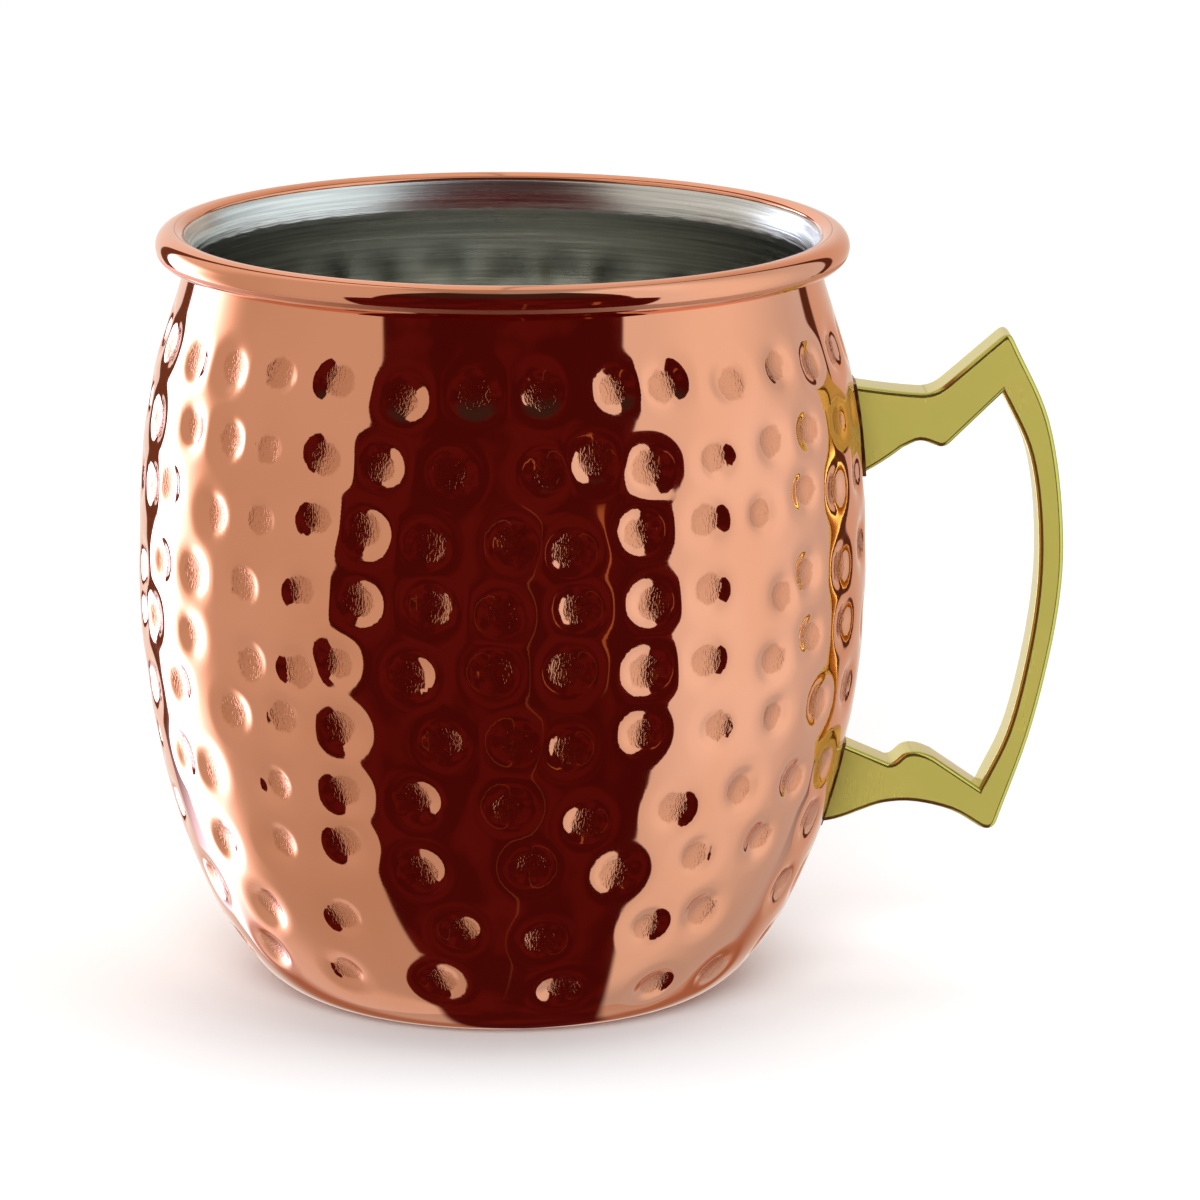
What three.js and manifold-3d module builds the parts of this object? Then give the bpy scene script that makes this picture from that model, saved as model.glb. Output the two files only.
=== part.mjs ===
// A hammered mule mug: a barrel-shaped cup pressed from sheet steel, with its lip rolled outward
// into a hollow bead, a copper layer over the whole of its outside, and a flat cast brass handle
// brazed to the wall at two feet. Nothing on it moves.
// Millimetres, +Z up. The origin is on the cup's axis, on the plane that the base stands on, and
// the handle reaches out along +X. The dimples that the hammer leaves go inward from this wall.
import * as THREE from "three";
import { mergeVertices } from "three/addons/utils/BufferGeometryUtils.js";
import Module from "manifold-3d";

// Driving dimensions of the cup
const MUG_HEIGHT = 98.3;
const RIM_RADIUS = 44.0;
const ROLL_RADIUS = 2.1;
const NECK_RADIUS = 40.1;
const BELLY_RADIUS = 46.4;
const BELLY_HEIGHT = 54.0;
const BASE_RADIUS = 24.4;
const COPPER_THICKNESS = 0.25;
const STEEL_THICKNESS = 0.7;

// Driving dimensions of the handle and its joints
const HANDLE_THICKNESS = 6.6;
const HANDLE_EDGE = 0.4;
const BRAZE_THICKNESS = 0.4;

// Bonded faces keep this clearance, so that each piece stays a solid of its own.
const CLEARANCE = 0.1;

// How finely the round shapes are divided
const TURN_STEPS = 44;
const WALL_STEPS = 7;
const BEAD_STEPS = 12;
const HIDDEN_STEPS = 8;
const OUTLINE_STEPS = 4;

// Places that follow from the driving dimensions
const ROLL_CENTRE = new THREE.Vector2(RIM_RADIUS - ROLL_RADIUS, MUG_HEIGHT - ROLL_RADIUS);
const NECK_HEIGHT = ROLL_CENTRE.y - 0.76 * ROLL_RADIUS;
const STEEL_OFFSET = COPPER_THICKNESS + CLEARANCE;

const wasm = await Module();
wasm.setup();

const materials = {
  copper: new THREE.MeshStandardMaterial({ color: 0xd98a68, roughness: 0.12, metalness: 1.0 }),
  steel: new THREE.MeshStandardMaterial({ color: 0x9a9b93, roughness: 0.35, metalness: 1.0 }),
  brass: new THREE.MeshStandardMaterial({ color: 0xc0b45a, roughness: 0.22, metalness: 1.0 }),
  braze: new THREE.MeshStandardMaterial({ color: 0x8d6f3c, roughness: 0.45, metalness: 1.0 }),
};

// The wall's outer line, as radius and height, from the base's edge to the neck. A positive inset
// moves it into the metal, at right angles to the wall, and a negative one moves it out.
function wallLine(inset) {
  const base = new THREE.Vector2(BASE_RADIUS, 0);
  const belly = new THREE.Vector2(BELLY_RADIUS, BELLY_HEIGHT);
  const neck = new THREE.Vector2(NECK_RADIUS, NECK_HEIGHT);
  const lower = new THREE.CubicBezierCurve(
    base,
    new THREE.Vector2(BASE_RADIUS + 11.5, 0),
    new THREE.Vector2(BELLY_RADIUS, BELLY_HEIGHT - 25.3),
    belly,
  );
  const upper = new THREE.CubicBezierCurve(
    belly,
    new THREE.Vector2(BELLY_RADIUS, BELLY_HEIGHT + 29.0),
    new THREE.Vector2(NECK_RADIUS + 2.0, NECK_HEIGHT - 10.3),
    neck,
  );
  const line = [];
  for (const curve of [lower, upper]) {
    for (let step = curve === lower ? 0 : 1; step <= WALL_STEPS; step += 1) {
      const along = step / WALL_STEPS;
      const tangent = curve.getTangent(along);
      const inward = new THREE.Vector2(-tangent.y, tangent.x);
      line.push(curve.getPoint(along).addScaledVector(inward, inset));
    }
  }
  return line;
}

// A stretch of the rolled lip's round section. Angles are in degrees from +radius, upward.
function rollArc(radius, from, to, steps) {
  const arc = [];
  for (let step = 0; step <= steps; step += 1) {
    const angle = THREE.MathUtils.degToRad(THREE.MathUtils.lerp(from, to, step / steps));
    const spoke = new THREE.Vector2(Math.cos(angle), Math.sin(angle));
    arc.push(ROLL_CENTRE.clone().addScaledVector(spoke, radius));
  }
  return arc;
}

// Turns a profile of radius and height about the Z axis.
function turned(profile) {
  return new THREE.LatheGeometry(profile, TURN_STEPS).rotateX(Math.PI / 2);
}

function onAxis(height) {
  return new THREE.Vector2(0, height);
}

// The pressed cup: outer face up to the slot under the bead, round the hollow of the bead to the
// sheet's cut edge, back over the top of the bead, and down the inside to the floor.
function steelCup() {
  const hollow = ROLL_RADIUS - STEEL_OFFSET - STEEL_THICKNESS;
  return turned([
    onAxis(STEEL_OFFSET),
    ...wallLine(STEEL_OFFSET),
    ...rollArc(hollow, 165, -130, HIDDEN_STEPS),
    ...rollArc(ROLL_RADIUS - STEEL_OFFSET, -130, 165, HIDDEN_STEPS),
    ...wallLine(STEEL_OFFSET + STEEL_THICKNESS).reverse(),
    onAxis(STEEL_OFFSET + STEEL_THICKNESS),
  ]);
}

// The copper layer: over the base, the wall and the bead, as far as the lip's inner side, and
// back along the steel. A thin web of it closes the crevice under the bead.
function copperLayer() {
  return turned([
    onAxis(0),
    ...wallLine(0),
    ...rollArc(ROLL_RADIUS, -135, 135, BEAD_STEPS),
    ...rollArc(ROLL_RADIUS - COPPER_THICKNESS, 135, -145, HIDDEN_STEPS),
    ...wallLine(COPPER_THICKNESS).reverse(),
    onAxis(COPPER_THICKNESS),
  ]);
}

// The handle's outline in the XZ plane: upper arm, horn, grip, tail, lower arm. Both arms run on
// into the cup, where the wall's own shape trims them.
function handleOutline() {
  const outline = new THREE.Shape();
  const points = (list) => list.map(([x, z]) => new THREE.Vector2(x, z));
  outline.moveTo(34.0, 79.4);
  outline.lineTo(45.0, 77.9);
  outline.quadraticCurveTo(50.0, 77.1, 53.2, 76.9);
  outline.quadraticCurveTo(54.9, 76.8, 56.3, 78.0);
  outline.lineTo(63.3, 84.0);
  outline.quadraticCurveTo(64.4, 84.9, 65.0, 83.6);
  outline.splineThru(points([[69.7, 73.0], [71.6, 60.0], [71.2, 48.5], [68.1, 33.6], [63.6, 20.5]]));
  outline.quadraticCurveTo(62.9, 19.1, 61.4, 19.9);
  outline.bezierCurveTo(55.0, 23.7, 51.0, 24.2, 45.6, 22.1);
  outline.quadraticCurveTo(43.2, 21.1, 41.5, 20.9);
  outline.lineTo(32.0, 19.8);
  outline.lineTo(32.0, 36.2);
  outline.lineTo(49.5, 28.5);
  outline.quadraticCurveTo(50.2, 28.4, 50.9, 29.2);
  outline.quadraticCurveTo(52.3, 30.8, 55.4, 29.2);
  outline.lineTo(61.3, 25.1);
  outline.splineThru(points([[65.1, 33.6], [67.9, 47.0], [68.5, 58.0], [67.2, 68.6], [63.6, 76.8]]));
  outline.lineTo(56.9, 70.3);
  outline.quadraticCurveTo(56.1, 69.6, 55.1, 70.1);
  outline.bezierCurveTo(53.3, 70.9, 52.4, 70.9, 50.9, 69.8);
  outline.quadraticCurveTo(48.5, 67.9, 45.4, 66.3);
  outline.lineTo(34.0, 60.2);
  outline.closePath();
  return outline;
}

// The untrimmed casting, with its long edges eased all round.
function handleBlank() {
  const blank = new THREE.ExtrudeGeometry(handleOutline(), {
    depth: HANDLE_THICKNESS - 2 * HANDLE_EDGE,
    curveSegments: OUTLINE_STEPS,
    bevelEnabled: true,
    bevelSegments: 2,
    bevelSize: HANDLE_EDGE,
    bevelOffset: -HANDLE_EDGE,
    bevelThickness: HANDLE_EDGE,
  });
  blank.translate(0, 0, HANDLE_EDGE - HANDLE_THICKNESS / 2);
  return blank.rotateX(Math.PI / 2);
}

// A closed geometry as a solid that can be cut and joined.
function solidOf(geometry) {
  const bare = geometry.clone();
  bare.deleteAttribute("normal");
  bare.deleteAttribute("uv");
  const merged = mergeVertices(bare);
  const corners = merged.index.array;
  const whole = [];
  for (let at = 0; at < corners.length; at += 3) {
    const [a, b, c] = [corners[at], corners[at + 1], corners[at + 2]];
    if (a !== b && b !== c && c !== a) whole.push(a, b, c);
  }
  const vertProperties = new Float32Array(merged.attributes.position.array);
  const triVerts = new Uint32Array(whole);
  return new wasm.Manifold(new wasm.Mesh({ numProp: 3, vertProperties, triVerts }));
}

function geometryOf(solid) {
  const mesh = solid.getMesh();
  const geometry = new THREE.BufferGeometry();
  geometry.setAttribute("position", new THREE.BufferAttribute(mesh.vertProperties, 3));
  geometry.setIndex(new THREE.BufferAttribute(mesh.triVerts, 1));
  geometry.computeVertexNormals();
  return geometry;
}

// The cup as one filled barrel, grown outward from its wall.
function filledBarrel(growth) {
  return solidOf(turned([onAxis(-growth), ...wallLine(-growth), onAxis(NECK_HEIGHT)]));
}

// Everything above or below the handle's middle, to part one foot from the other.
function halfSpace(side) {
  const size = 2 * MUG_HEIGHT;
  const block = new THREE.BoxGeometry(size, size, size);
  block.translate(0, 0, BELLY_HEIGHT + (side * size) / 2);
  return solidOf(block);
}

function named(name, geometry, material) {
  const mesh = new THREE.Mesh(geometry, material);
  mesh.name = name;
  return mesh;
}

const blank = solidOf(handleBlank());
const brazeFace = filledBarrel(CLEARANCE);
const handleFace = filledBarrel(2 * CLEARANCE + BRAZE_THICKNESS);
const brazeLayer = blank.intersect(filledBarrel(CLEARANCE + BRAZE_THICKNESS)).subtract(brazeFace);

const mug = new THREE.Group();
mug.add(named("steel_cup", steelCup(), materials.steel));
mug.add(named("copper_layer", copperLayer(), materials.copper));
mug.add(named("handle", geometryOf(blank.subtract(handleFace)), materials.brass));
mug.add(named("upper_braze", geometryOf(brazeLayer.intersect(halfSpace(1))), materials.braze));
mug.add(named("lower_braze", geometryOf(brazeLayer.intersect(halfSpace(-1))), materials.braze));

export default mug;
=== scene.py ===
# %% [markdown]
# # A hammered copper mug
#
# This lesson dresses a finished design of a mule mug. The design gives every size: a barrel of
# thin steel with its lip rolled into a bead, copper over its outside, and a flat brass handle
# brazed on at two feet. Here each of those pieces gets the surface that a maker would give it:
# rows of hammer marks, a mirror polish, a brushed inside and the eased edges of a casting.
#
# Everything is in metres, with +Z up. The cup's axis is the Z axis, its base stands on Z = 0 and
# the handle reaches out along +X.

# %% Load the design
import math
import random

import bpy
import numpy as np
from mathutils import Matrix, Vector, kdtree


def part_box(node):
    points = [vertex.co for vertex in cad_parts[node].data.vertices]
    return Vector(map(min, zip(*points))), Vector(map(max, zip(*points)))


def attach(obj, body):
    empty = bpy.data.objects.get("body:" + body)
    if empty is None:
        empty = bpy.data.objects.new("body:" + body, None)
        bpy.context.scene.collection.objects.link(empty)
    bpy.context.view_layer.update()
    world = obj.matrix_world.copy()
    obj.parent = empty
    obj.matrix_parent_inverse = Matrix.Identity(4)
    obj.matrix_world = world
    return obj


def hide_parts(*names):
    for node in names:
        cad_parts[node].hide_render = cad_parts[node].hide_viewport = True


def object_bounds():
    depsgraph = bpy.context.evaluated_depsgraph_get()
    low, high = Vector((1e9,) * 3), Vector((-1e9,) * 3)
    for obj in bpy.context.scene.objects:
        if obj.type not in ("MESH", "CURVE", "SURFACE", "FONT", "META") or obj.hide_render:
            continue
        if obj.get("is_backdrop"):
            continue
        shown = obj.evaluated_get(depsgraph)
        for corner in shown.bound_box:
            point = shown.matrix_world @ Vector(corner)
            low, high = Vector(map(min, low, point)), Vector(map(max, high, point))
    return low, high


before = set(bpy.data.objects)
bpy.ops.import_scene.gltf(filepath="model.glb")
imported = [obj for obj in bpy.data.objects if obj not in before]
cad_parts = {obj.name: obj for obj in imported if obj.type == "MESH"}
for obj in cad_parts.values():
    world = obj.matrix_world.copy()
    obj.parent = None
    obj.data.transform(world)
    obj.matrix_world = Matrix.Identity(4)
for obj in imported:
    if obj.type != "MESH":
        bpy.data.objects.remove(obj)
cad_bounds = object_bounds()
MM = 0.001

cup_low, cup_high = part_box("copper_layer")
handle_low, handle_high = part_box("handle")
HEIGHT = cup_high[2]
BELLY_RADIUS = cup_high[0]
print("mug height", round(HEIGHT / MM, 1), "mm, widest radius", round(BELLY_RADIUS / MM, 1), "mm")

# %% [markdown]
# ## The camera
#
# The camera stands a metre away with a long lens, so that the barrel isn't pulled out of shape.
# It looks down a little, which opens the mouth into an ellipse, and stands a few degrees off the
# handle's square view, which shows the grip's inner face.

# %% Place the camera
CAMERA_DISTANCE = 1.0
CAMERA_AZIMUTH = math.radians(-3.5)
CAMERA_ELEVATION = math.radians(12.62)
CAMERA_ROLL = math.radians(0.17)
CAMERA_ASIDE = 12.46 * MM
AIM_HEIGHT = 49.87 * MM
LENS_MM = 234.4

toward_camera = Vector((
    math.sin(CAMERA_AZIMUTH) * math.cos(CAMERA_ELEVATION),
    -math.cos(CAMERA_AZIMUTH) * math.cos(CAMERA_ELEVATION),
    math.sin(CAMERA_ELEVATION),
))
camera_right = Vector((math.cos(CAMERA_AZIMUTH), math.sin(CAMERA_AZIMUTH), 0))
camera_place = toward_camera * CAMERA_DISTANCE + camera_right * CAMERA_ASIDE
camera_place.z += AIM_HEIGHT

bpy.ops.object.camera_add(location=camera_place)
camera = bpy.context.object
camera.name = "product_camera"
camera.data.lens = LENS_MM
camera.data.sensor_width = 36.0
look = toward_camera.to_track_quat("Z", "Y").to_euler()
look.rotate_axis("Z", CAMERA_ROLL)
camera.rotation_euler = look
bpy.context.scene.camera = camera
print("camera at", [round(c, 3) for c in camera.location])

# %% [markdown]
# ## Writing shaders as sums
#
# A shader is a graph of nodes, and most of it is arithmetic. The class below wraps one socket of
# the graph, so that ordinary Python operators on it add the Math nodes. Every other node comes
# from one method that takes the node's type, its settings and what goes into its sockets.

# %% A socket that can be added and multiplied
class Wire:
    """One output socket of a shader, which arithmetic operators work on."""

    def __init__(self, shader, socket):
        self.shader = shader
        self.socket = socket

    def __add__(self, other):
        return self.shader.maths("ADD", self, other)

    __radd__ = __add__

    def __mul__(self, other):
        return self.shader.maths("MULTIPLY", self, other)

    __rmul__ = __mul__

    def __sub__(self, other):
        return self.shader.maths("SUBTRACT", self, other)

    def __rsub__(self, other):
        return self.shader.maths("SUBTRACT", other, self)


class Shader:
    """A node tree, with one method for any node and a few for the usual sums."""

    def __init__(self, tree):
        self.tree = tree

    def node(self, kind, settings=None, sockets=None, output=0):
        made = self.tree.nodes.new(kind)
        for name, value in (settings or {}).items():
            if name == "stops":
                self.set_stops(made.color_ramp, value)
            else:
                setattr(made, name, value)
        for name, value in (sockets or {}).items():
            if isinstance(value, Wire):
                self.tree.links.new(value.socket, made.inputs[name])
            else:
                made.inputs[name].default_value = value
        return Wire(self, made.outputs[output])

    def set_stops(self, ramp, stops):
        while len(ramp.elements) < len(stops):
            ramp.elements.new(1.0)
        for element, (place, colour) in zip(ramp.elements, stops):
            element.position = place
            element.color = colour

    def maths(self, operation, *values):
        settings = {"operation": operation}
        return self.node("ShaderNodeMath", settings, dict(enumerate(values)))

    def ramp_between(self, value, low, high):
        """0 up to low, 1 from high on, and a soft step between them."""
        settings = {"interpolation_type": "SMOOTHSTEP"}
        sockets = {"Value": value, "From Min": low, "From Max": high}
        return self.node("ShaderNodeMapRange", settings, sockets)

    def place(self, stretch=(1, 1, 1)):
        """Where a point is on the piece, in metres, stretched along each axis."""
        where = self.node("ShaderNodeTexCoord", output="Object")
        return self.node("ShaderNodeMapping", None, {"Vector": where, "Scale": stretch})

    def noise(self, scale, detail=3.0, stretch=(1, 1, 1)):
        sockets = {"Vector": self.place(stretch), "Scale": scale, "Detail": detail}
        return self.node("ShaderNodeTexNoise", None, sockets)

    def attribute(self, name):
        return self.node("ShaderNodeAttribute", {"attribute_name": name}, output="Fac")

    def mix_colour(self, amount, first, second):
        """From the first colour to the second; a Mix node's colour sockets go by number."""
        sockets = {0: amount, 6: first, 7: second}
        return self.node("ShaderNodeMix", {"data_type": "RGBA"}, sockets, output=2)

    def bump(self, height, strength, distance, below=None):
        sockets = {"Height": height, "Strength": strength, "Distance": distance}
        if below is not None:
            sockets["Normal"] = below
        return self.node("ShaderNodeBump", None, sockets, output="Normal")


def make_finish(name, constants, varied):
    """A material: constants go on its own sockets, and varied(shader) gives what changes."""
    material = bpy.data.materials.new(name)
    material.use_nodes = True
    shader = Shader(material.node_tree)
    surface = material.node_tree.nodes["Principled BSDF"]
    for socket, value in constants.items():
        surface.inputs[socket].default_value = value
    for socket, wire in varied(shader).items():
        material.node_tree.links.new(wire.socket, surface.inputs[socket])
    print("material", name, "with", len(material.node_tree.nodes), "nodes")
    return material


# %% [markdown]
# ## Polished copper, bruised by the hammer
#
# The mug's copper is mirror bright between the marks. Inside each mark the hammer's face has left
# its own grain, a dull, sandy spot. The mesh carries how deep inside a mark each point is, so the
# spot's edge can be drawn crisply in the material, whatever the size of the mesh's faces. Low on
# the bead runs a thin rough line, where the polishing wheel doesn't reach into the crease.

# %% The copper finish
COPPER_BRIGHT = (0.88, 0.395, 0.235, 1)
COPPER_WARM = (0.82, 0.35, 0.195, 1)
COPPER_GRAIN = (0.66, 0.265, 0.14, 1)
CREASE_LOW = 95.15 * MM
CREASE_HIGH = 95.6 * MM
CREASE_RADIUS = 41.9 * MM
CREASE_BLUR = 0.12 * MM
SAND_DEPTH = 0.026 * MM


def copper_finish(shader):
    inside_mark = shader.attribute("mark")
    ragged = (shader.noise(900, 4.0) - 0.5) * 0.5
    grain_area = shader.ramp_between(inside_mark + ragged, 0.0, 0.22)
    sand = shader.ramp_between(shader.noise(4000, 1.5, (1, 1, 0.42)), 0.4, 0.62)
    clouds = shader.noise(38, 2.0)
    polish = shader.noise(300, 4.0, (1, 1, 0.35))
    height = shader.node("ShaderNodeSeparateXYZ", None, {"Vector": shader.place()}, output="Z")
    radius = shader.node("ShaderNodeVectorMath", {"operation": "LENGTH"},
                         {0: shader.place((1, 1, 0))}, output="Value")
    crease = shader.ramp_between(height, CREASE_LOW - CREASE_BLUR, CREASE_LOW)
    crease = crease * (1 - shader.ramp_between(height, CREASE_HIGH, CREASE_HIGH + CREASE_BLUR))
    crease = crease * shader.ramp_between(radius, CREASE_RADIUS - 0.1 * MM, CREASE_RADIUS + 0.1 * MM)
    roughness = 0.03 + clouds * 0.02 + polish * 0.015 + grain_area * (0.04 + sand * 0.08)
    roughness = roughness + crease * 0.55
    grit = grain_area * sand
    wobble = shader.bump(clouds, 0.12, 0.4 * MM)
    normal = shader.bump(grit, 0.6, SAND_DEPTH, wobble)
    colour = shader.mix_colour(shader.ramp_between(clouds, 0.35, 0.65), COPPER_BRIGHT, COPPER_WARM)
    colour = shader.mix_colour(grain_area * 0.8, colour, COPPER_GRAIN)
    return {"Base Color": colour, "Roughness": roughness, "Normal": normal}


copper = make_finish("hammered_copper", {"Metallic": 1.0}, copper_finish)

# %% [markdown]
# ## Brushed steel
#
# The inside is brushed round and round, which leaves fine rings of scratches. Light spreads across
# them, so highlights stand up as vertical streaks. Noise squeezed hard along Z gives the rings,
# and the shader's anisotropy, which turns about Z, spreads the light.

# %% The steel finish
STEEL_LIGHT = (0.86, 0.87, 0.82, 1)
STEEL_DARK = (0.58, 0.595, 0.55, 1)


def steel_finish(shader):
    rings = shader.noise(260, 5.0, (0.16, 0.16, 9.0))
    fine_rings = shader.noise(900, 3.0, (0.1, 0.1, 9.0))
    clouds = shader.noise(60, 3.0)
    roughness = 0.17 + rings * 0.12 + clouds * 0.05
    height = rings * 0.6 + fine_rings * 0.4
    normal = shader.bump(height, 0.8, 0.08 * MM)
    colour = shader.mix_colour(shader.ramp_between(rings, 0.3, 0.7), STEEL_DARK, STEEL_LIGHT)
    return {"Base Color": colour, "Roughness": roughness, "Normal": normal}


STEEL_CONSTANTS = {"Metallic": 1.0, "Anisotropic": 0.55}
steel = make_finish("brushed_steel", STEEL_CONSTANTS, steel_finish)

# %% [markdown]
# ## Cast brass
#
# The handle is cast and then polished on a mop. Its rounded edges take the polish best and shine.
# Its broad sides stay satin, a little cloudy, with faint lines along the polishing direction. The
# direction that the surface faces tells the two apart. Its colour is a greenish yellow.

# %% The brass finish
BRASS_LIGHT = (0.64, 0.575, 0.13, 1)
BRASS_GREEN = (0.60, 0.56, 0.125, 1)


def brass_finish(shader):
    facing = shader.node("ShaderNodeNewGeometry", output="Normal")
    broadside = shader.node("ShaderNodeVectorMath", {"operation": "DOT_PRODUCT"},
                            {0: facing, 1: (0, 1, 0)}, output="Value")
    flat = shader.ramp_between(shader.maths("ABSOLUTE", broadside), 0.95, 0.995)
    clouds = shader.noise(90, 3.0)
    cast = shader.noise(420, 3.0)
    mop_lines = shader.noise(1500, 3.0, (1.0, 1.0, 0.12))
    roughness = 0.09 + clouds * 0.06 + mop_lines * 0.05 + flat * 0.12
    soft = shader.bump(cast, 0.06, 0.1 * MM)
    normal = shader.bump(mop_lines, 0.02, 0.02 * MM, soft)
    colour = shader.mix_colour(shader.ramp_between(clouds, 0.3, 0.7), BRASS_GREEN, BRASS_LIGHT)
    metallic = 0.96 - flat * 0.38
    return {"Base Color": colour, "Roughness": roughness, "Metallic": metallic, "Normal": normal}


brass = make_finish("cast_brass", {}, brass_finish)

# %% [markdown]
# ## Braze metal
#
# Brazing leaves a thin, dull seam where the feet meet the wall. Heat has darkened it.

# %% The braze finish
BRAZE_BROWN = (0.24, 0.13, 0.05, 1)
BRAZE_GOLD = (0.46, 0.33, 0.10, 1)


def braze_finish(shader):
    patches = shader.noise(700, 4.0)
    roughness = 0.32 + patches * 0.25
    normal = shader.bump(patches, 0.5, 0.1 * MM)
    colour = shader.mix_colour(shader.ramp_between(patches, 0.4, 0.62), BRAZE_BROWN, BRAZE_GOLD)
    return {"Base Color": colour, "Roughness": roughness, "Normal": normal}


braze = make_finish("braze_seam", {"Metallic": 1.0}, braze_finish)

# %% [markdown]
# ## The wall's line
#
# The barrel is a solid of revolution, so one line gives its shape. It runs from the axis, along
# the base, round the foot, up to the belly, in to the neck, and round the rolled bead. The wall is
# two Bezier curves and the bead is an arc. Each function below returns points of radius and
# height.

# %% Curves for the wall and the bead
RIM_RADIUS = 44.0 * MM
ROLL_RADIUS = 2.1 * MM
NECK_RADIUS = 40.1 * MM
BELLY_HEIGHT = 54.0 * MM
BASE_RADIUS = 24.4 * MM
ROLL_CENTRE = np.array((RIM_RADIUS - ROLL_RADIUS, HEIGHT - ROLL_RADIUS))
NECK_DROP = 0.76
NECK_HEIGHT = ROLL_CENTRE[1] - NECK_DROP * ROLL_RADIUS
LOWER_WALL = np.array((
    (BASE_RADIUS, 0),
    (BASE_RADIUS + 11.5 * MM, 0),
    (BELLY_RADIUS, BELLY_HEIGHT - 25.3 * MM),
    (BELLY_RADIUS, BELLY_HEIGHT),
))
UPPER_WALL = np.array((
    (BELLY_RADIUS, BELLY_HEIGHT),
    (BELLY_RADIUS, BELLY_HEIGHT + 29.0 * MM),
    (NECK_RADIUS + 2.0 * MM, NECK_HEIGHT - 10.3 * MM),
    (NECK_RADIUS, NECK_HEIGHT),
))


def bezier(handles, along):
    """Points and directions of a cubic Bezier curve at the values in along."""
    t = np.asarray(along)[:, None]
    a, b, c, d = handles
    place = (1 - t) ** 3 * a + 3 * (1 - t) ** 2 * t * b + 3 * (1 - t) * t**2 * c + t**3 * d
    heading = (1 - t) ** 2 * (b - a) + 2 * (1 - t) * t * (c - b) + t**2 * (d - c)
    return place, heading / np.linalg.norm(heading, axis=1, keepdims=True)


def even_steps(line, heading, spacing):
    """Picks points at an even spacing along a finely drawn line."""
    lengths = np.r_[0, np.cumsum(np.linalg.norm(np.diff(line, axis=0), axis=1))]
    count = max(2, int(round(lengths[-1] / spacing)) + 1)
    wanted = np.linspace(0, lengths[-1], count)
    pick = [np.stack([np.interp(wanted, lengths, part[:, k]) for k in (0, 1)], 1)
            for part in (line, heading)]
    return pick[0], pick[1]


def wall_line(inset, spacing):
    """The wall's outer line from base to neck, moved into the metal by inset."""
    fine = np.linspace(0, 1, 400)
    lower, lower_heading = bezier(LOWER_WALL, fine)
    upper, upper_heading = bezier(UPPER_WALL, fine)
    line, heading = even_steps(
        np.vstack((lower, upper[1:])), np.vstack((lower_heading, upper_heading[1:])), spacing
    )
    inward = np.stack((-heading[:, 1], heading[:, 0]), 1)
    return line + inward * inset


def roll_arc(radius, start, end, steps):
    """Part of the bead's round section, by angles in degrees from outward, upward."""
    turn = np.radians(np.linspace(start, end, steps + 1))
    return ROLL_CENTRE + radius * np.stack((np.cos(turn), np.sin(turn)), 1)


def floor_line(height, steps):
    """From the axis out to just short of the base's edge."""
    radii = np.linspace(0, BASE_RADIUS, steps + 1)[:-1]
    return np.stack((radii, np.full(steps, height)), 1)


print("neck height", round(NECK_HEIGHT / MM, 1), "mm")

# %% [markdown]
# ## Turning a line into a shell
#
# A potter's or spinner's shape is drawn once and turned. The line is drawn vertex by vertex with
# the extrude operator, and the spin operator turns it about Z. Spinning leaves two rows of points
# on top of each other where the turn closes, and a bundle of them on the axis, so doubles are
# merged and the normals worked out again.

# %% Drawing and spinning
MERGE = 0.001 * MM


def deselect():
    if bpy.context.object and bpy.context.object.mode != "OBJECT":
        bpy.ops.object.mode_set(mode="OBJECT")
    bpy.ops.object.select_all(action="DESELECT")


def draw_line(name, points):
    """A line of edges through points, as a new object left in edit mode."""
    deselect()
    spots = [Vector(point) for point in points]
    bpy.ops.mesh.primitive_plane_add(size=MERGE, location=spots[0])
    drawn = bpy.context.object
    drawn.name = name
    bpy.ops.object.mode_set(mode="EDIT")
    bpy.ops.mesh.select_mode(type="VERT")
    bpy.ops.mesh.merge(type="CENTER")
    for before, after in zip(spots, spots[1:]):
        step = {"value": after - before}
        bpy.ops.mesh.extrude_region_move(TRANSFORM_OT_translate=step)
    return drawn


def settle(piece):
    """Leaves edit mode with the piece's place in its mesh and its object at the origin."""
    deselect()
    piece.select_set(True)
    bpy.context.view_layer.objects.active = piece
    bpy.ops.object.transform_apply(location=True, rotation=True, scale=True)
    return piece


def turn_on_lathe(name, line, steps):
    """Spins a line of radius and height about Z into a shell."""
    shell = draw_line(name, [(radius, 0, height) for radius, height in line])
    bpy.ops.mesh.select_all(action="SELECT")
    bpy.ops.mesh.spin(steps=steps, angle=2 * math.pi, center=(0, 0, 0), axis=(0, 0, 1))
    bpy.ops.mesh.select_all(action="SELECT")
    bpy.ops.mesh.remove_doubles(threshold=MERGE)
    return settle(shell)


def join_at_lip(front, back):
    """Joins two open shells into one closed one by bridging their open rims."""
    deselect()
    back.select_set(True)
    front.select_set(True)
    bpy.context.view_layer.objects.active = front
    bpy.ops.object.join()
    bpy.ops.object.mode_set(mode="EDIT")
    bpy.ops.mesh.select_mode(type="EDGE")
    bpy.ops.mesh.select_all(action="DESELECT")
    bpy.ops.mesh.select_non_manifold(extend=False)
    bpy.ops.mesh.bridge_edge_loops()
    bpy.ops.mesh.select_all(action="SELECT")
    bpy.ops.mesh.normals_make_consistent(inside=False)
    bpy.ops.object.mode_set(mode="OBJECT")
    return front


# %% [markdown]
# ## The copper shell
#
# The copper's outside is spun finely, because a mirror shows every facet. Its back lies against
# the steel and is never seen, so that is spun coarsely, and the two are bridged at the lip.

# %% Spin the copper
AROUND = 448
AROUND_HIDDEN = 56
FINE_SPACING = 0.58 * MM
COARSE_SPACING = 4.0 * MM
COPPER_BACK = 1.0 * MM
NECK_TURN = -138
LIP_EDGE = 139

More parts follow.
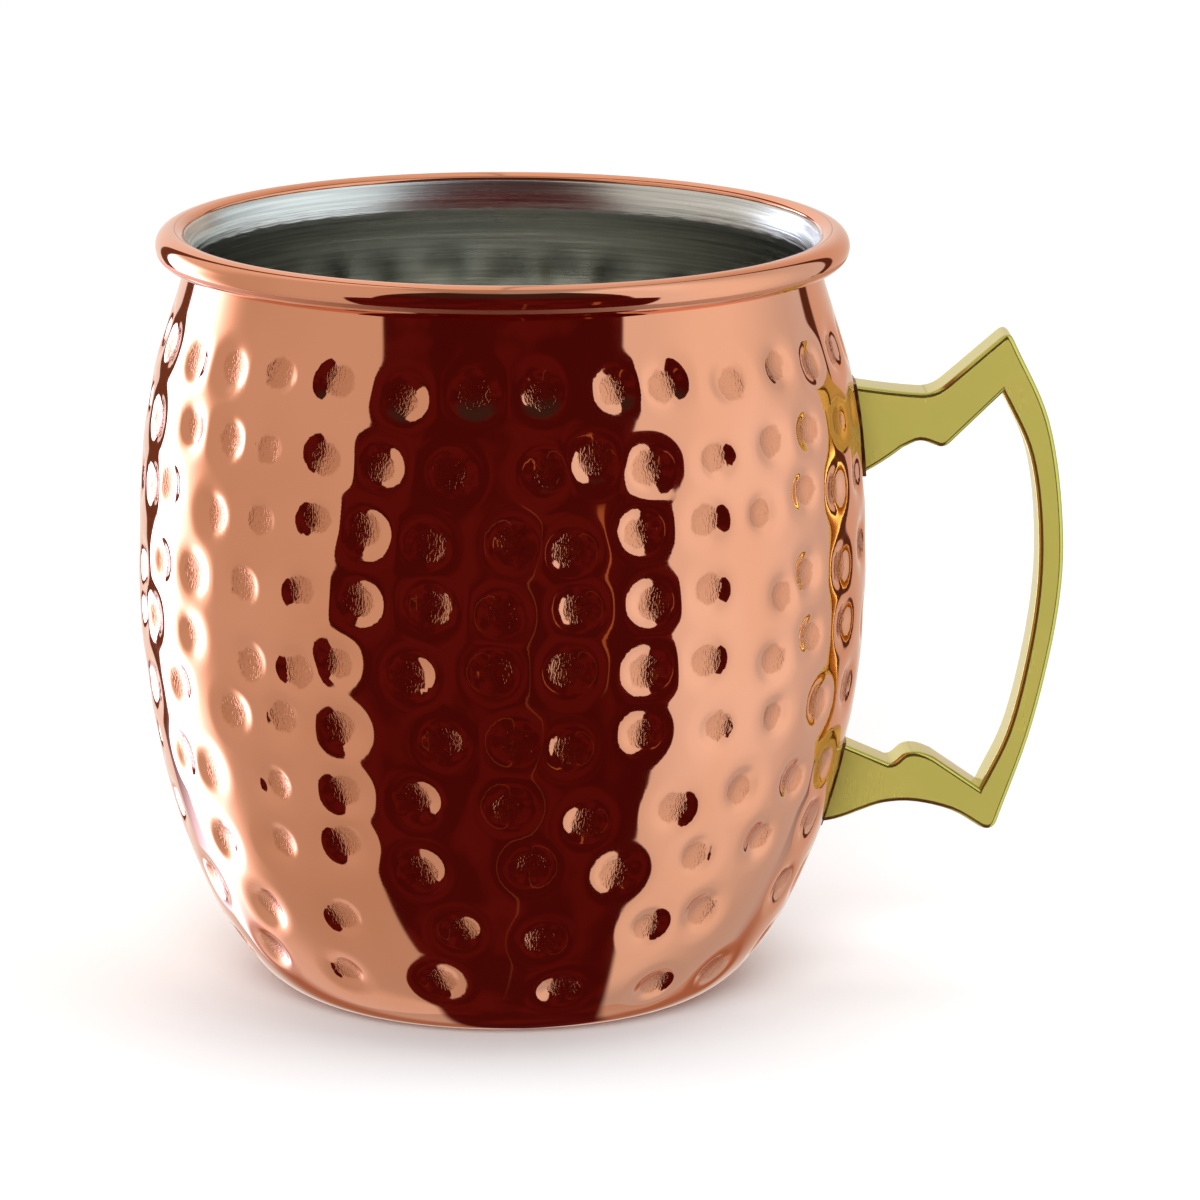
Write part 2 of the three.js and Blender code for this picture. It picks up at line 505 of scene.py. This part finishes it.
copper_front = turn_on_lathe("copper_skin", np.vstack((
    floor_line(0, 8),
    wall_line(0, FINE_SPACING),
    roll_arc(ROLL_RADIUS, NECK_TURN, LIP_EDGE, 26),
)), AROUND)
copper_back = turn_on_lathe("copper_back", np.vstack((
    floor_line(COPPER_BACK, 3),
    wall_line(COPPER_BACK, COARSE_SPACING),
    roll_arc(ROLL_RADIUS - 0.25 * MM, NECK_TURN - 10, LIP_EDGE, 12),
)), AROUND_HIDDEN)
print("copper front has", len(copper_front.data.polygons), "faces")

# %% [markdown]
# ## Where the hammer falls
#
# The marks run in rings round the barrel, an even spacing apart, but never quite in line. From
# ring to ring the columns of marks lean along a shallow bow. Toward the foot, which curves away
# under the hammer, the blows fall further apart and more loosely. Every blow lands a little off.

# %% Lay out the marks
TOP_RING = 85.0 * MM
RING_SPACING = 8.65 * MM
RINGS = 10
BOW_START = math.radians(-3.5)
BOW_LEAN = math.radians(0.45)
BOW_MIDDLE = 4
BLOW_SPACING = 8.6 * MM
BLOW_SPREAD = 0.055 * MM
LOOSER_EACH_RING = 0.16
DRIFT_ANGLE = math.radians(1.0)
DRIFT_HEIGHT = 0.9 * MM

hand = random.Random(7)
wall_fine = wall_line(0, 0.2 * MM)


def wall_radius(height):
    return float(np.interp(height, wall_fine[:, 1], wall_fine[:, 0]))


def lay_out_marks():
    """Each mark: its place on the wall, its radius, its force and where its rough spot slipped."""
    marks = []
    for ring in range(RINGS):
        girth = 2 * math.pi * wall_radius(TOP_RING - ring * RING_SPACING)
        blows = round(girth / (BLOW_SPACING + BLOW_SPREAD * ring**2))
        start = BOW_START + BOW_LEAN * (ring - BOW_MIDDLE) ** 2 - math.pi / 2
        loose = 1 + LOOSER_EACH_RING * ring
        for blow in range(blows):
            angle = start + 2 * math.pi * blow / blows
            angle += hand.gauss(0, 1) * DRIFT_ANGLE * loose
            height = TOP_RING - ring * RING_SPACING + hand.gauss(0, 0.6) * DRIFT_HEIGHT * loose
            radius = wall_radius(height)
            place = Vector((radius * math.cos(angle), radius * math.sin(angle), height))
            slip = Vector((-math.sin(angle), math.cos(angle), 0)) * hand.uniform(-0.7, 0.7) * MM
            slip.z = hand.uniform(-0.5, 0.5) * MM
            marks.append((place, hand.uniform(2.6, 3.1) * MM, hand.uniform(0.8, 1.15), slip))
    return marks


marks = lay_out_marks()
print(len(marks), "hammer marks")

# %% [markdown]
# ## Striking the marks
#
# A mark is a shallow round bowl with a crisp edge, in a wider soft dent where the sheet has given
# way. Its depth at each vertex goes into a vertex group, and a Displace modifier then pushes the
# surface inward by that group, which is how a hammer works: it moves metal, it doesn't cut it.

# %% Strike the wall
BOWL_DEPTH = 0.66 * MM
DENT_DEPTH = 0.18 * MM
DENT_WIDTH = 1.9 * MM
FULL_DEPTH = BOWL_DEPTH + DENT_DEPTH
BOWL_POWER = 2.1
DENT_POWER = 1.3
SPOT_SHARE = 0.78
STRONGEST_BLOW = 1.2


def weigh_marks(piece, bowl_edge, dent_width):
    """Depth from 0 to 1 and the mark attribute of every vertex that the hammer reaches."""
    spots = kdtree.KDTree(len(piece.data.vertices))
    for vertex in piece.data.vertices:
        spots.insert(vertex.co, vertex.index)
    spots.balance()
    depth = np.zeros(len(piece.data.vertices))
    inside = np.full(len(piece.data.vertices), -1.0)
    for place, radius, force, slip in marks:
        bowl = radius * bowl_edge
        for spot, index, away in spots.find_range(place, bowl + dent_width):
            from_spot = (spot - place - slip).length
            inside[index] = max(inside[index], 1 - from_spot / (bowl * SPOT_SHARE))
            if away < bowl:
                shape = BOWL_DEPTH * (1 - (away / bowl) ** BOWL_POWER) + DENT_DEPTH
            else:
                shape = DENT_DEPTH * (1 - (away - bowl) / dent_width) ** DENT_POWER
            depth[index] = max(depth[index], force * shape / FULL_DEPTH)
    return depth, inside


def strike(piece, bowl_edge=1.0, dent_width=DENT_WIDTH):
    """Pushes the marks into a piece with a Displace modifier."""
    depth, inside = weigh_marks(piece, bowl_edge, dent_width)
    group = piece.vertex_groups.new(name="struck")
    for index in np.flatnonzero(depth > 0):
        group.add([int(index)], min(1.0, float(depth[index]) / STRONGEST_BLOW), "REPLACE")
    mark = piece.data.attributes.new("mark", "FLOAT", "POINT")
    mark.data.foreach_set("value", inside.astype(np.float32))
    deselect()
    piece.select_set(True)
    bpy.context.view_layer.objects.active = piece
    bpy.ops.object.modifier_add(type="DISPLACE")
    press = piece.modifiers[-1]
    press.vertex_group = "struck"
    press.mid_level = 0
    press.strength = -STRONGEST_BLOW * FULL_DEPTH
    bpy.ops.object.modifier_apply(modifier=press.name)
    print(piece.name, "deepest mark", round(depth.max() * FULL_DEPTH / MM, 2), "mm")


def face_outward(shell):
    """Turns an open shell's faces to look away from the axis."""
    deselect()
    shell.select_set(True)
    bpy.context.view_layer.objects.active = shell
    belly = max(shell.data.polygons, key=lambda face: face.center.xy.length)
    if belly.normal.dot(belly.center) < 0:
        bpy.ops.object.mode_set(mode="EDIT")
        bpy.ops.mesh.select_all(action="SELECT")
        bpy.ops.mesh.flip_normals()
        bpy.ops.object.mode_set(mode="OBJECT")


face_outward(copper_front)
strike(copper_front)
copper_skin = join_at_lip(copper_front, copper_back)
bpy.ops.object.shade_smooth()
copper_skin.data.materials.append(copper)

# %% [markdown]
# ## The steel inside
#
# The inside is the other face of the same sheet, so each mark stands up there as a low round
# boss. It is wider and softer than the bowl outside, because the sheet bends over its thickness.
# Near the top the inside opens in a long, gentle flare, which spreads the light that falls in.
# The lining's lip comes up flush with the copper's edge and tucks under it.

# %% Spin and strike the lining
SHEET = 1.4 * MM
STEEL_BACK = 1.1 * MM
STEEL_AROUND = 288
STEEL_SPACING = 0.9 * MM
LIP_FLUSH = ROLL_RADIUS - 0.05 * MM
FLARE_START = 88.0 * MM
BOSS_SPREAD = 1.15
BOSS_SKIRT = 1.5 * MM


def lining_line(spacing):
    """Up the inner wall, in a long flare to the copper's edge, and a little under it."""
    wall = wall_line(SHEET, spacing)
    wall = wall[wall[:, 1] < FLARE_START]
    arc = roll_arc(LIP_FLUSH, 160, LIP_EDGE + 1, 6)
    leave = wall[-1] + np.array((-1.2, 3.9)) * MM
    arrive = arc[0] - np.array((1.85, 3.3)) * MM
    flare, _ = bezier(np.array((wall[-1], leave, arrive, arc[0])), np.linspace(0, 1, 15))
    tuck = roll_arc(ROLL_RADIUS - 0.3 * MM, LIP_EDGE, 120, 3)
    return np.vstack((wall, flare[1:-1], arc, tuck))


steel_front = turn_on_lathe("steel_lining", np.vstack((
    floor_line(SHEET, 8),
    lining_line(STEEL_SPACING),
)), STEEL_AROUND)
steel_back = turn_on_lathe("steel_back", np.vstack((
    floor_line(STEEL_BACK, 3),
    wall_line(STEEL_BACK, COARSE_SPACING),
    roll_arc(ROLL_RADIUS - 0.7 * MM, 165, 120, 4),
)), AROUND_HIDDEN)
face_outward(steel_front)
strike(steel_front, BOSS_SPREAD, BOSS_SKIRT)
steel_lining = join_at_lip(steel_front, steel_back)
bpy.ops.object.shade_smooth()
steel_lining.data.materials.append(steel)

# %% [markdown]
# ## The handle
#
# The handle is a flat casting: an upper arm that rises to a pointed horn, a bowed grip, a pointed
# tail and a lower arm. Its outline is drawn in its own plane and extruded. Both broad sides are
# then inset and raised in steps along a quarter circle, which rounds every edge evenly, even at
# the tips. The feet run on into the cup and are cut to the wall's own curve with a boolean.

# %% The handle's outline
HANDLE_THICKNESS = handle_high[1] - handle_low[1]
EDGE_RADIUS = 0.75 * MM
EDGE_STEPS = 5
FOOT_GAP = 0.25 * MM


def straight(*points):
    return [np.array(point) for point in points]


def curved(start, bend, end, steps=6):
    """A curve from start to end that heads for bend, without its first point."""
    a, b, c = (np.array(point) for point in (start, bend, end))
    return [(1 - t) ** 2 * a + 2 * (1 - t) * t * b + t * t * c
            for t in np.linspace(0, 1, steps + 1)[1:]]


def through(points, steps=7):
    """A smooth line through points, without its first one."""
    spots = [np.array(point) for point in points]
    ends = [2 * spots[0] - spots[1]] + spots + [2 * spots[-1] - spots[-2]]
    line = []
    for a, b, c, d in zip(ends, ends[1:], ends[2:], ends[3:]):
        for t in np.linspace(0, 1, steps + 1)[1:]:
            line.append(0.5 * (2 * b + (c - a) * t + (2 * a - 5 * b + 4 * c - d) * t**2
                               + (3 * b - a - 3 * c + d) * t**3))
    return line


def handle_outline():
    """The outline in millimetres of X and Z, once round from the upper foot's top."""
    return [
        *straight((34.0, 79.4), (45.0, 77.9)),
        *curved((45.0, 77.9), (50.0, 77.1), (53.2, 76.9)),
        *curved((53.2, 76.9), (54.9, 76.8), (56.3, 78.0)),
        *straight((63.3, 84.0)),
        *curved((63.3, 84.0), (64.4, 84.9), (65.0, 83.6)),
        *through([(65.0, 83.6), (69.7, 73.0), (71.6, 60.0), (71.2, 48.5), (68.1, 33.6), (63.6, 20.5)]),
        *curved((63.6, 20.5), (62.9, 19.1), (61.4, 19.9)),
        *through([(61.4, 19.9), (57.7, 22.1), (53.0, 23.3), (49.0, 23.2), (45.6, 22.1)], 4),
        *curved((45.6, 22.1), (43.2, 21.1), (41.5, 20.9)),
        *straight((32.0, 19.8), (32.0, 36.2), (49.5, 28.5)),
        *curved((49.5, 28.5), (50.2, 28.4), (50.9, 29.2), 4),
        *curved((50.9, 29.2), (52.3, 30.8), (55.4, 29.2)),
        *straight((61.3, 25.1)),
        *through([(61.3, 25.1), (65.1, 33.6), (67.9, 47.0), (68.5, 58.0), (67.2, 68.6), (63.6, 76.8)]),
        *straight((56.9, 70.3)),
        *curved((56.9, 70.3), (56.1, 69.6), (55.1, 70.1), 4),
        *through([(55.1, 70.1), (53.1, 70.7), (50.9, 69.8)], 4),
        *curved((50.9, 69.8), (48.5, 67.9), (45.4, 66.3)),
        *straight((34.0, 60.2)),
    ]


# %% Cast the handle and trim its feet
def cast_flat(name, outline, thickness, rounding):
    """Fills an outline in the XZ plane and grows it to a thickness, with rounded edges."""
    slab = thickness - 2 * rounding
    casting = draw_line(name, [(x * MM, -slab / 2, z * MM) for x, z in outline])
    bpy.ops.mesh.select_all(action="SELECT")
    bpy.ops.mesh.edge_face_add()
    step = {"value": (0, slab, 0)}
    bpy.ops.mesh.extrude_region_move(TRANSFORM_OT_translate=step)
    bpy.ops.mesh.select_all(action="SELECT")
    bpy.ops.mesh.normals_make_consistent(inside=False)
    bpy.ops.mesh.select_mode(type="FACE")
    bpy.ops.mesh.select_all(action="DESELECT")
    bpy.ops.object.mode_set(mode="OBJECT")
    for face in casting.data.polygons:
        face.select = abs(face.normal.y) > 0.9
    bpy.ops.object.mode_set(mode="EDIT")
    turns = np.radians(np.linspace(0, 90, EDGE_STEPS + 1))
    for before, after in zip(turns, turns[1:]):
        inward = rounding * (math.cos(before) - math.cos(after))
        outward = rounding * (math.sin(after) - math.sin(before))
        bpy.ops.mesh.inset(thickness=inward, depth=outward)
    return settle(casting)


def filled_barrel(growth):
    """The cup's outside as a solid, grown by growth, for cutting other pieces to it."""
    line = wall_line(-growth, 1.0 * MM)
    low_end, high_end = (0, line[0][1]), (0, line[-1][1])
    barrel = turn_on_lathe("barrel", np.vstack((low_end, line, high_end)), 180)
    bpy.ops.object.mode_set(mode="EDIT")
    bpy.ops.mesh.select_all(action="SELECT")
    bpy.ops.mesh.normals_make_consistent(inside=False)
    bpy.ops.object.mode_set(mode="OBJECT")
    return barrel


def cut(piece, tool, operation="DIFFERENCE"):
    """Applies a boolean of piece and tool, and removes the tool."""
    deselect()
    piece.select_set(True)
    bpy.context.view_layer.objects.active = piece
    bpy.ops.object.modifier_add(type="BOOLEAN")
    knife = piece.modifiers[-1]
    knife.operation = operation
    knife.object = tool
    knife.solver = "EXACT"
    bpy.ops.object.modifier_apply(modifier=knife.name)
    bpy.data.objects.remove(tool)


def smooth_flats(piece, sharper_than):
    """Shades smoothly, keeps sharp corners sharp, and keeps the broad flats flat."""
    deselect()
    piece.select_set(True)
    bpy.context.view_layer.objects.active = piece
    bpy.ops.object.shade_smooth_by_angle(angle=math.radians(sharper_than))
    bpy.ops.object.modifier_add(type="WEIGHTED_NORMAL")
    weighted = piece.modifiers[-1]
    weighted.keep_sharp = True
    bpy.ops.object.modifier_apply(modifier=weighted.name)


def ease_edges(piece, width, segments, sharper_than):
    """Rounds the edges that turn by more than an angle, and keeps the flats flat."""
    deselect()
    piece.select_set(True)
    bpy.context.view_layer.objects.active = piece
    bpy.ops.object.modifier_add(type="BEVEL")
    bevel = piece.modifiers[-1]
    bevel.width = width
    bevel.segments = segments
    bevel.limit_method = "ANGLE"
    bevel.angle_limit = math.radians(sharper_than)
    bevel.harden_normals = False
    bpy.ops.object.modifier_apply(modifier=bevel.name)
    smooth_flats(piece, 50)


handle = cast_flat("brass_handle", handle_outline(), HANDLE_THICKNESS, EDGE_RADIUS)
cut(handle, filled_barrel(FOOT_GAP))
smooth_flats(handle, 40)
handle.data.materials.append(brass)
print("handle has", len(handle.data.polygons), "faces")

# %% [markdown]
# ## The brazed seams
#
# Each foot sits on a thin pad of braze metal, which shows as a narrow dull line round it. A pad is
# a block a little larger than the foot, cut between two barrels: one just inside the wall, so that
# it fills any hammer mark under the foot, and one just outside it.

# %% Lay the seams
SEAM_PROUD = 0.3 * MM
SEAM_WIDTH = 0.3 * MM
SEAM_SINK = 0.5 * MM
SEAM_REACH = 4 * MM
SEAM_EASE = 0.14 * MM


def lay_seam(name, node):
    low, high = (Vector(corner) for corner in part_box(node))
    middle = (low + high) / 2
    size = high - low
    deselect()
    bpy.ops.mesh.primitive_cube_add(size=1, location=middle)
    seam = bpy.context.object
    seam.name = name
    bpy.ops.object.mode_set(mode="EDIT")
    bpy.ops.mesh.select_all(action="SELECT")
    reach = (size.x + SEAM_REACH, size.y + 2 * SEAM_WIDTH, size.z + 2 * SEAM_WIDTH)
    bpy.ops.transform.resize(value=reach)
    bpy.ops.mesh.subdivide(number_cuts=7)
    settle(seam)
    cut(seam, filled_barrel(SEAM_PROUD), "INTERSECT")
    cut(seam, filled_barrel(-SEAM_SINK))
    ease_edges(seam, SEAM_EASE, 2, 40)
    seam.data.materials.append(braze)
    print(name, "has", len(seam.data.polygons), "faces")
    return seam


upper_seam = lay_seam("upper_seam", "upper_braze")
lower_seam = lay_seam("lower_seam", "lower_braze")

# %% [markdown]
# ## The studio
#
# Polished metal shows its surroundings more than itself, so the studio is what paints the copper.
# Tall bright walls stand left and right, the camera's side is left dark, and that makes the deep
# red band down the middle of the barrel. The strongest light stands behind on the left. All of
# this is worked out in the world's shader, from how far each direction goes forward, right and up.

# %% Directions in the room
world = bpy.data.worlds.new("studio")
bpy.context.scene.world = world
world.use_nodes = True
studio = Shader(world.node_tree)
heading = studio.node("ShaderNodeTexCoord", output="Generated")


def along(direction):
    """How far the view into the world goes along a direction."""
    settings = {"operation": "DOT_PRODUCT"}
    return studio.node("ShaderNodeVectorMath", settings, {0: heading, 1: direction}, output="Value")


def size_of(value):
    return studio.maths("ABSOLUTE", value)


def rgb(parts):
    return studio.node("ShaderNodeCombineXYZ", None, dict(enumerate(parts)))


front = along((math.sin(CAMERA_AZIMUTH), -math.cos(CAMERA_AZIMUTH), 0))
right = along(camera_right)
upward = along((0, 0, 1))
downward = upward * -1
azimuth = studio.maths("ARCTAN2", right, front) * (180 / math.pi)
is_right = studio.ramp_between(azimuth, -1.0, 1.0)
overhead = studio.ramp_between(upward, 0.93, 0.985)
print("directions take", len(world.node_tree.nodes), "nodes")

# %% [markdown]
# ## How far the dark side reaches
#
# The dark side is a slice of the room in front of the mug. It narrows upward. Downward it runs on
# as a strip, under the mug and out behind it, so that the red band reaches the foot's very edge.

# %% The dark side's edge
BAND_TANGENT = 1.28
STRIP_LEFT = 0.26
STRIP_RIGHT = 0.41
BAND_BLUR = 0.015

narrowed = studio.maths("MINIMUM", studio.maths("MAXIMUM", upward - 0.04, 0.0), 0.16) * 2.2
level_edge = front * (BAND_TANGENT + is_right * 0.06 - narrowed)
steep_edge = STRIP_LEFT + is_right * (STRIP_RIGHT - STRIP_LEFT) + front * (0.29 + is_right * 0.11)
steep_edge = steep_edge * studio.ramp_between(downward, 0.45, 0.65)
band_edge = studio.maths("MAXIMUM", level_edge, steep_edge)
in_front = studio.ramp_between(band_edge - size_of(right), -BAND_BLUR, BAND_BLUR)
print("dark side reaches", round(math.degrees(math.atan(BAND_TANGENT))), "degrees to each side")

# %% [markdown]
# ## The bright walls
#
# Each wall is even, fades a little toward its ends, and stops at a thin brown edge. Past the edge
# is what stands behind the mug. The hot lamp is a part of the left wall that rises to several
# times its brightness, and its light is whiter. Straight overhead hangs a dim ceiling.

# %% Walls, hot lamp and what is behind
BRIGHT_LEFT = 0.67
BRIGHT_RIGHT = 1.03
HOT_LEFT = 3.7
BACK_LEFT = 1.05
BACK_RIGHT = 0.72
CEILING = 0.45
EDGE_WARM = (0.17, 0.062, 0.031)
RIGHT_SOONER = 13.5
LEFT_SOONER = 3.0

round_to = size_of(azimuth) + is_right * RIGHT_SOONER
past_wall = studio.ramp_between(round_to + (1 - is_right) * LEFT_SOONER, 145.5, 147.0)
past_line = studio.ramp_between(round_to, 152.5, 154.0)
level_line = 1 - studio.ramp_between(downward, 0.3, 0.55)
on_line = past_wall * (1 - past_line) * (1 - overhead) * level_line * (1 - is_right * 0.4)

level_view = 1 - studio.ramp_between(size_of(upward + 0.16), 0.28, 0.5) * 0.92
to_hot = studio.ramp_between(azimuth * -1, 97.0, 127.0)
to_hot = to_hot * to_hot * level_view * (1 - past_line)
fading = studio.ramp_between(azimuth, 86.0, 125.0) * 0.34
fading = fading + is_right * (1 - studio.ramp_between(azimuth, 52.0, 76.0)) * 0.14
sides = BRIGHT_LEFT + is_right * (BRIGHT_RIGHT - BRIGHT_LEFT)
sides = sides + to_hot * (HOT_LEFT - BRIGHT_LEFT) - fading
sides = sides * (1.04 + studio.maths("MINIMUM", upward, -0.19) * 0.22)
behind = BACK_LEFT + studio.ramp_between(right, -0.5, 0.5) * (BACK_RIGHT - BACK_LEFT)
level = sides * (1 - past_wall * level_line) + behind * past_line * level_line
level = level * (1 - overhead) + overhead * CEILING

cool_right = is_right * (1 - past_line)
warm_right = studio.ramp_between(right, 0.0, 0.5) * past_line
tint = (
    1.0,
    0.92 + cool_right * 0.16 + to_hot * 0.2 - warm_right * 0.14,
    0.85 + cool_right * 0.30 + to_hot * 0.7 - warm_right * 0.22,
)
bright = rgb([level * part + on_line * warm for part, warm in zip(tint, EDGE_WARM)])
print("hot lamp is", round(HOT_LEFT / BRIGHT_LEFT, 1), "times the left wall")

# %% [markdown]
# ## The dark side
#
# The camera's side is nearly black, a deep red that copper turns richer, and greyer high up. It is
# a little uneven, and two faint thin things stand in it, which wind down the band as fine lines.

# %% What stands in the dark
FRONT_DARK = (0.085, 0.0078, 0.0075)
FRONT_ABOVE = (0.045, 0.026, 0.025)
CLUTTER_WARM = (0.42, 0.21, 0.09)


def strip(middle, half_width):
    """1 along a thin upright strip of the room, by its azimuth in degrees."""
    return 1 - studio.ramp_between(size_of(azimuth - middle), half_width * 0.4, half_width)


cloud = studio.node("ShaderNodeTexNoise", None, {"Vector": heading, "Scale": 4.0, "Detail": 2.0})
shade = 0.78 + studio.ramp_between(cloud, 0.42, 0.62) * 0.4
low_down = 1 - studio.ramp_between(upward, -0.04, 0.04)
knee_high = low_down * (1 - studio.ramp_between(downward, 0.24, 0.34))
clutter = strip(8.0, 0.6) * 0.25 * low_down + strip(31.5, 1.6) * 0.65 * knee_high
dark_side = rgb([shade * dark + clutter * warm for dark, warm in zip(FRONT_DARK, CLUTTER_WARM)])
high_up = studio.ramp_between(upward, 0.5, 0.75)
dark_side = studio.mix_colour(high_up, dark_side, (*FRONT_ABOVE, 1))
print("dark side's red is", round(FRONT_DARK[0] / FRONT_DARK[1], 1), "times its green")

# %% [markdown]
# ## Putting the room together
#
# The foot curves under, and there it sees the shaded ground behind the mug, which is a plain warm
# brown. The dark side goes on last, over the walls and the ground.

# %% Join the parts of the room
UNDERFOOT = (0.40, 0.19, 0.11)

beneath = studio.ramp_between(downward, 0.45, 0.6) * studio.ramp_between(front * -1, 0.54, 0.7)
room = studio.mix_colour(beneath, bright, (*UNDERFOOT, 1))
room = studio.mix_colour(in_front * (1 - overhead), room, dark_side)
background = world.node_tree.nodes["Background"]
world.node_tree.links.new(room.socket, background.inputs["Color"])
print("studio has", len(world.node_tree.nodes), "nodes")

# %% [markdown]
# ## Floor and lamps
#
# The floor is left out of the metal's reflections, so that the foot stays as bright as the wall.
# A wide lamp overhead whitens it and gives the mug its soft shadow, and a second one by the camera
# lights the satin sides of the handle. Neither shows as a shape in the polished copper.

# %% Lay the floor and hang the lamps
FLOOR_SIZE = 8.0

deselect()
bpy.ops.mesh.primitive_plane_add(size=FLOOR_SIZE, location=(0, 0, 0))
floor = bpy.context.object
floor.name = "studio_floor"
floor.visible_glossy = False


def paper_finish(shader):
    fibre = shader.noise(900, 3.0)
    tone = shader.mix_colour(fibre, (0.86, 0.86, 0.86, 1), (0.88, 0.88, 0.88, 1))
    return {"Base Color": tone}


floor.data.materials.append(make_finish("white_paper", {"Roughness": 0.9}, paper_finish))
floor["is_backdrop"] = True


def hang_lamp(name, place, size, power):
    deselect()
    bpy.ops.object.light_add(type="AREA", location=place)
    lamp = bpy.context.object
    lamp.name = name
    lamp.data.size = size
    lamp.data.energy = power
    lamp.rotation_euler = Vector(place).to_track_quat("Z", "Y").to_euler()
    lamp.visible_glossy = False
    lamp.visible_camera = False
    return lamp


hang_lamp("overhead_lamp", (0.2, 0.3, 2.2), 2.4, 30)
hang_lamp("front_lamp", (-0.3, -1.9, 0.9), 1.2, 55)
bpy.context.scene.view_settings.view_transform = "Standard"

# %% [markdown]
# ## Hand the pieces over
#
# Each piece rides on the mug's single body and stands for the design's own solids.

# %% Ride and replace
PIECES = (
    (copper_skin, "polished_copper", "copper_layer"),
    (steel_lining, "brushed_lining", "steel_cup"),
    (handle, "cast_brass", "handle"),
    (upper_seam, "braze_metal", "upper_braze"),
    (lower_seam, "braze_metal", "lower_braze"),
)
for piece, slot, node in PIECES:
    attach(piece, "root")
    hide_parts(node)

plain = [[list(map(float, corner)) for corner in box] for box in (cad_bounds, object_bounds())]
print("boxes in mm", [[[round(c / MM, 1) for c in corner] for corner in box] for box in plain])
